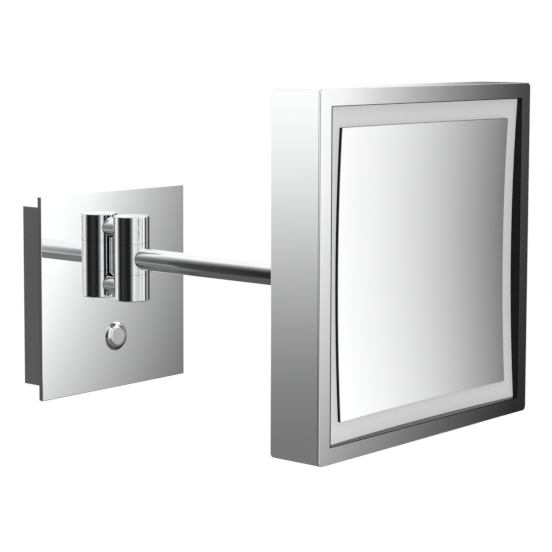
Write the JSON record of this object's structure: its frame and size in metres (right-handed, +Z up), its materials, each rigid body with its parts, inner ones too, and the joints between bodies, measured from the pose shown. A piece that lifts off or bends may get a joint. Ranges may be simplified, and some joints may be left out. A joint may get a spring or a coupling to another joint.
{
  "type": "wall-mounted shaving mirror",
  "caption": "Square wall-mounted shaving mirror: concave glass and light panel in a chrome box head that pans and tilts on a swinging arm, with a push button on the wall plate.",
  "frame": {"origin": "on the wall plane, at the middle of the wall bracket's screw pattern", "axes": "+Z up, +X right for someone facing the wall, +Y into the wall; the mirror faces -Y"},
  "size_m": [0.2, 0.279, 0.2035],
  "materials": {
    "polished_chrome": "mirror polished chrome plate",
    "zinc_steel": "zinc plated steel",
    "mirror_silver": "concave silvered glass",
    "opal_diffuser": "satin opal light panel",
    "satin_button": "satin face",
    "white_plastic": "moulded white",
    "black_rubber": "matte",
    "bearing_plastic": "natural acetal",
    "grey_lead": "sheathed lead",
    "black_plastic": "moulded black",
    "light_strip": "white coated light strip",
    "satin_cover": "satin light grey sheet",
    "light_chip": "light chip"
  },
  "bodies": {
    "base": {"wall_bracket": "zinc_steel", "cable_grommet": "black_rubber", "base_box": "polished_chrome", "fixing_screws": "zinc_steel", "cover_plate": "polished_chrome", "cover_studs": "zinc_steel", "cover_nuts": "zinc_steel", "led_driver": "white_plastic", "terminal_block": "white_plastic", "input_lead": "grey_lead", "base_lead": "grey_lead", "upper_post": "polished_chrome", "lower_post": "polished_chrome", "post_nuts": "zinc_steel", "hinge_washers": "bearing_plastic", "upper_knuckle": "polished_chrome", "lower_knuckle": "polished_chrome", "hinge_cap": "polished_chrome", "hinge_pin": "zinc_steel", "button_collar": "polished_chrome", "collar_nut": "zinc_steel", "switch_body": "black_plastic"},
    "button": {"push_button": "satin_button"},
    "arm": {"arm_knuckle": "polished_chrome", "hinge_bush": "bearing_plastic", "arm_tube": "polished_chrome", "arm_lead": "grey_lead", "pivot_barrel": "polished_chrome", "pan_bush": "bearing_plastic"},
    "swivel": {"swivel_yoke": "polished_chrome", "pan_pin": "zinc_steel", "pan_cap": "polished_chrome", "pan_washers": "bearing_plastic"},
    "head": {"tilt_bracket": "polished_chrome", "tilt_pin": "polished_chrome", "tilt_nut": "polished_chrome", "tilt_washers": "bearing_plastic", "bracket_screws": "polished_chrome", "backing_plate": "zinc_steel", "head_grommet": "black_rubber", "head_lead": "grey_lead", "head_shell": "polished_chrome", "back_cover": "satin_cover", "bezel": "polished_chrome", "inner_frame": "black_plastic", "bezel_gasket": "black_rubber", "bezel_standoffs": "zinc_steel", "bezel_screws": "polished_chrome", "tray_spacers": "white_plastic", "reflector_tray": "white_plastic", "led_strips": "light_strip", "led_chips": "light_chip", "diffuser": "opal_diffuser", "mirror_carrier": "black_plastic", "mirror_glass": "mirror_silver"}
  },
  "joints": [
    {"name": "arm_swing", "type": "hinge", "parent": "base", "child": "arm", "pos_m": [0, -0.04, 0.022], "axis": [0, 0, 1], "range_deg": [-85, 85]},
    {"name": "head_pan", "type": "hinge", "parent": "arm", "child": "swivel", "pos_m": [0, -0.214, 0.022], "axis": [0, 0, 1], "range_deg": [-60, 60]},
    {"name": "head_tilt", "type": "hinge", "parent": "swivel", "child": "head", "pos_m": [0, -0.234, 0.022], "axis": [1, 0, 0], "range_deg": [-25, 25]},
    {"name": "button_press", "type": "slide", "parent": "base", "child": "button", "axis": [0, 1, 0], "range_m": [0, 0.0015], "stiffness_N_per_m": 600, "springref_m": -0.002}
  ]
}
